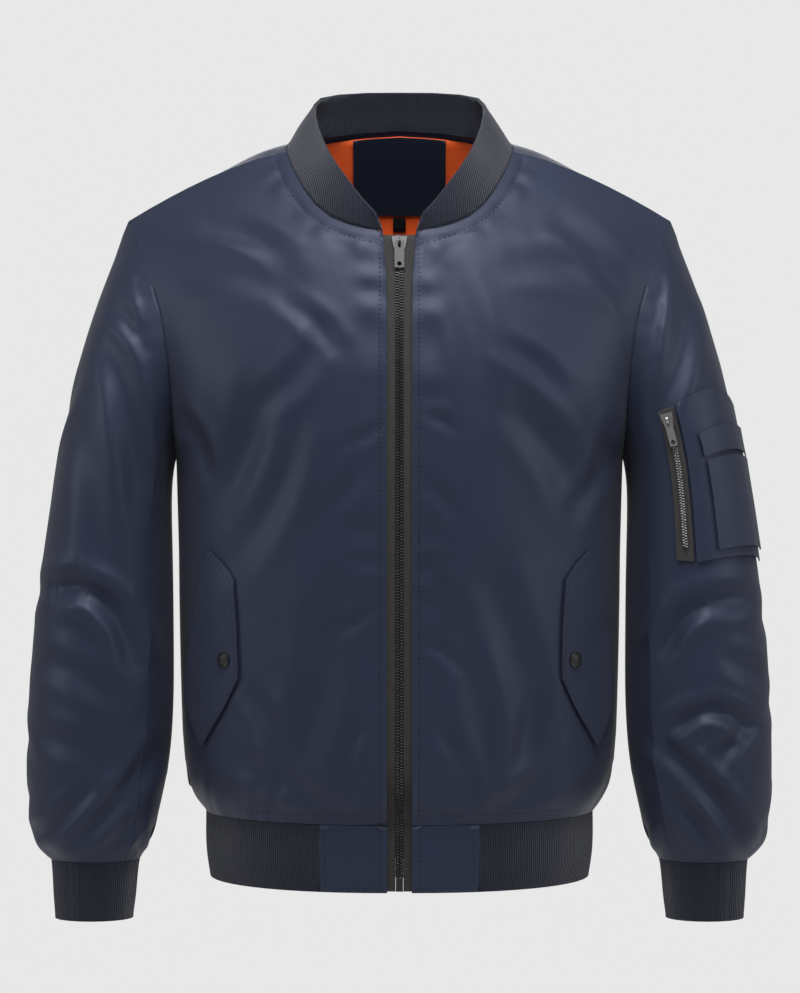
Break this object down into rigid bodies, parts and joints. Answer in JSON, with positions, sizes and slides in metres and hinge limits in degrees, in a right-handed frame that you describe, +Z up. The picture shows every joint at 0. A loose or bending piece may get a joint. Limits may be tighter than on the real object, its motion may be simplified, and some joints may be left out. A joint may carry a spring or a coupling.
{
  "type": "bomber jacket",
  "caption": "Hollow worn-shape bomber jacket with rib collar, cuffs and hem, front zip, snap flaps and a zipped sleeve pocket.",
  "frame": {"origin": "middle of the neck, level with the neck points of the shoulders", "axes": "+Z up, the front faces -Y, the wearer's left is +X"},
  "size_m": [0.688, 0.2872, 0.7708],
  "materials": {
    "nylon": "navy nylon twill with a soft sheen, lightly wadded",
    "rib": "navy knitted rib, matt",
    "zip_tape": "charcoal woven tape",
    "dark_metal": "gunmetal, satin",
    "silver_metal": "nickel plate, bright",
    "orange_lining": "orange nylon lining, soft sheen",
    "label": "black woven label, bare"
  },
  "bodies": {
    "jacket": {"front_left": "nylon", "front_right": "nylon", "back": "nylon", "sleeve_left_top": "nylon", "sleeve_left_under": "nylon", "sleeve_right_top": "nylon", "sleeve_right_under": "nylon", "collar_rib": "rib", "hem_rib": "rib", "cuff_left": "rib", "cuff_right": "rib", "hem_tab_left": "nylon", "hem_tab_right": "nylon", "zip_tape_left": "zip_tape", "zip_tape_right": "zip_tape", "zip_chain": "dark_metal", "zip_box": "dark_metal", "zip_slider": "dark_metal", "zip_bail": "dark_metal", "flap_left": "nylon", "flap_right": "nylon", "snap_left": "dark_metal", "snap_right": "dark_metal", "arm_zip_tape": "zip_tape", "arm_zip_chain": "silver_metal", "arm_pocket": "nylon", "pen_pocket_upper": "nylon", "pen_pocket_lower": "nylon", "arm_zip_slider": "silver_metal", "arm_zip_bail": "silver_metal", "lining_back": "orange_lining", "neck_facing": "nylon", "neck_label": "label"},
    "front_pull": {"zip_pull": "dark_metal"},
    "arm_pull": {"arm_zip_pull": "silver_metal"}
  },
  "joints": [
    {"name": "front_pull_hinge", "type": "hinge", "parent": "jacket", "child": "front_pull", "pos_m": [0, -0.10277, -0.09471], "axis": [-1, 0, 0], "range_deg": [0, 150]},
    {"name": "arm_pull_hinge", "type": "hinge", "parent": "jacket", "child": "arm_pull", "pos_m": [0.24106, -0.08141, -0.25334], "axis": [-0.9511, 0.1867, -0.2461], "range_deg": [0, 150]}
  ]
}
